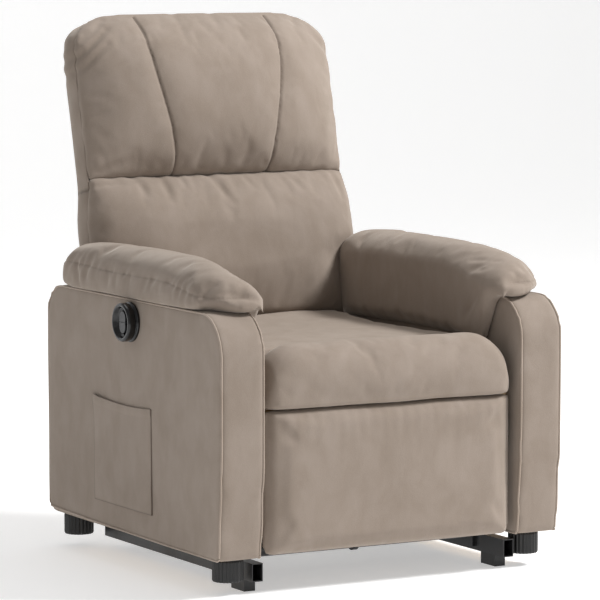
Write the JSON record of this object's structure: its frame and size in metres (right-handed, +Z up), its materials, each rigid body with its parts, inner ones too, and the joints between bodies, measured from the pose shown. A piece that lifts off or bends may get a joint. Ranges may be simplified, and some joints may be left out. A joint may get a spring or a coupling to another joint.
{
  "type": "lift recliner chair",
  "caption": "Upholstered armchair on a steel base that lifts and tilts it, with a reclining back, a folding footrest, padded arms, a hand control and a side pocket.",
  "frame": {"origin": "on the floor under the middle of the chair", "axes": "+X to the sitter's left, +Y from the front to the back, +Z up; left and right in the names of pieces are as seen from the front"},
  "size_m": [0.807, 0.9162, 1.0901],
  "materials": {
    "upholstery": "taupe microfibre with a soft nap",
    "webbing": "woven elastic webbing",
    "frame_wood": "plain plywood and sawn timber",
    "painted_steel": "charcoal powder coat",
    "bright_steel": "zinc plated",
    "foot_plastic": "black moulded",
    "motor_plastic": "fine textured black",
    "control_plastic": "semi-gloss charcoal",
    "key_plastic": "satin charcoal"
  },
  "bodies": {
    "base": {"base_rail_left": "painted_steel", "base_rail_right": "painted_steel", "base_mid_tube": "painted_steel", "base_rear_tube": "painted_steel", "base_floor_pads": "foot_plastic", "base_lugs": "painted_steel", "base_pivot_pins": "bright_steel", "actuator_bracket": "painted_steel"},
    "lift_links": {"lift_link_left": "painted_steel", "lift_link_right": "painted_steel", "lift_torque_tube": "painted_steel", "lift_lever": "painted_steel"},
    "rear_links": {"rear_link_left": "painted_steel", "rear_link_right": "painted_steel"},
    "actuator": {"actuator_gearbox": "motor_plastic", "actuator_motor": "motor_plastic", "actuator_tube": "painted_steel", "power_inlet": "motor_plastic"},
    "actuator_rod": {"actuator_rod": "bright_steel", "actuator_clevis": "painted_steel"},
    "chassis": {"side_plate_left": "painted_steel", "side_plate_right": "painted_steel", "chassis_pivot_pins": "bright_steel", "seat_frame": "frame_wood", "rear_cross_rail": "frame_wood", "seat_springs": "bright_steel", "seat_cushion": "upholstery", "seat_front_roll": "upholstery", "recline_brackets": "painted_steel", "arm_frame_left": "frame_wood", "arm_frame_right": "frame_wood", "arm_outer_panel_left": "upholstery", "arm_outer_panel_right": "upholstery", "arm_inner_panel_left": "upholstery", "arm_inner_panel_right": "upholstery", "arm_front_band_left": "upholstery", "arm_front_band_right": "upholstery", "arm_pad_left": "upholstery", "arm_pad_right": "upholstery", "foot_front_left": "foot_plastic", "foot_front_right": "foot_plastic", "foot_rear_left": "foot_plastic", "foot_rear_right": "foot_plastic", "storage_pocket": "upholstery", "control_housing": "control_plastic"},
    "backrest": {"back_frame": "frame_wood", "back_webbing": "webbing", "back_cushion_lower": "upholstery", "back_cushion_upper": "upholstery", "back_gusset": "upholstery", "back_rear_panel": "upholstery", "back_brackets": "painted_steel"},
    "leg_rear_links": {"leg_rear_links": "painted_steel", "legrest_cross_tube": "painted_steel"},
    "leg_front_links": {"leg_front_links": "painted_steel"},
    "footrest": {"footrest_board": "frame_wood", "footrest_cushion": "upholstery", "footrest_brackets": "painted_steel"},
    "button_up": {"control_button_up": "key_plastic"},
    "button_down": {"control_button_down": "key_plastic"}
  },
  "joints": [
    {"name": "lift", "type": "hinge", "parent": "base", "child": "lift_links", "pos_m": [0, -0.29, 0.062], "axis": [1, 0, 0], "range_deg": [0, 48]},
    {"name": "lift_tilt", "type": "hinge", "parent": "lift_links", "child": "chassis", "pos_m": [0, 0.08, 0.1], "axis": [1, 0, 0], "range_deg": [-24, 0]},
    {"name": "rear_link_swing", "type": "hinge", "parent": "base", "child": "rear_links", "pos_m": [0, -0.21, 0.074], "axis": [1, 0, 0], "range_deg": [0, 48]},
    {"name": "actuator_swing", "type": "hinge", "parent": "base", "child": "actuator", "pos_m": [0, 0.16, 0.075], "axis": [1, 0, 0], "range_deg": [0, 3.04]},
    {"name": "actuator_extend", "type": "slide", "parent": "actuator", "child": "actuator_rod", "axis": [0, -0.9663, 0.2573], "range_m": [0, 0.1034]},
    {"name": "recline", "type": "hinge", "parent": "chassis", "child": "backrest", "pos_m": [0, 0.21, 0.43], "axis": [1, 0, 0], "range_deg": [-40, 0]},
    {"name": "legrest", "type": "hinge", "parent": "chassis", "child": "leg_rear_links", "pos_m": [0, -0.365, 0.3], "axis": [1, 0, 0], "range_deg": [-90, 0]},
    {"name": "legrest_knee", "type": "hinge", "parent": "leg_rear_links", "child": "leg_front_links", "pos_m": [0, -0.365, 0.16], "axis": [1, 0, 0], "range_deg": [0, 180]},
    {"name": "footrest_turn", "type": "hinge", "parent": "leg_front_links", "child": "footrest", "pos_m": [0, -0.365, 0.3], "axis": [1, 0, 0], "range_deg": [-180, 0]},
    {"name": "button_up_press", "type": "slide", "parent": "chassis", "child": "button_up", "axis": [1, 0, 0], "range_m": [0, 0.002], "stiffness_N_per_m": 300, "springref_m": -0.002},
    {"name": "button_down_press", "type": "slide", "parent": "chassis", "child": "button_down", "axis": [1, 0, 0], "range_m": [0, 0.002], "stiffness_N_per_m": 300, "springref_m": -0.002}
  ],
  "couplings": [
    {"joint": "lift_tilt", "follows": "lift", "ratio": -0.5},
    {"joint": "rear_link_swing", "follows": "lift", "ratio": 1},
    {"joint": "actuator_swing", "follows": "lift", "ratio": 0.06325},
    {"joint": "actuator_extend", "follows": "lift", "m_per_rad": 0.12284},
    {"joint": "legrest_knee", "follows": "legrest", "ratio": -2},
    {"joint": "footrest_turn", "follows": "legrest", "ratio": 2}
  ]
}
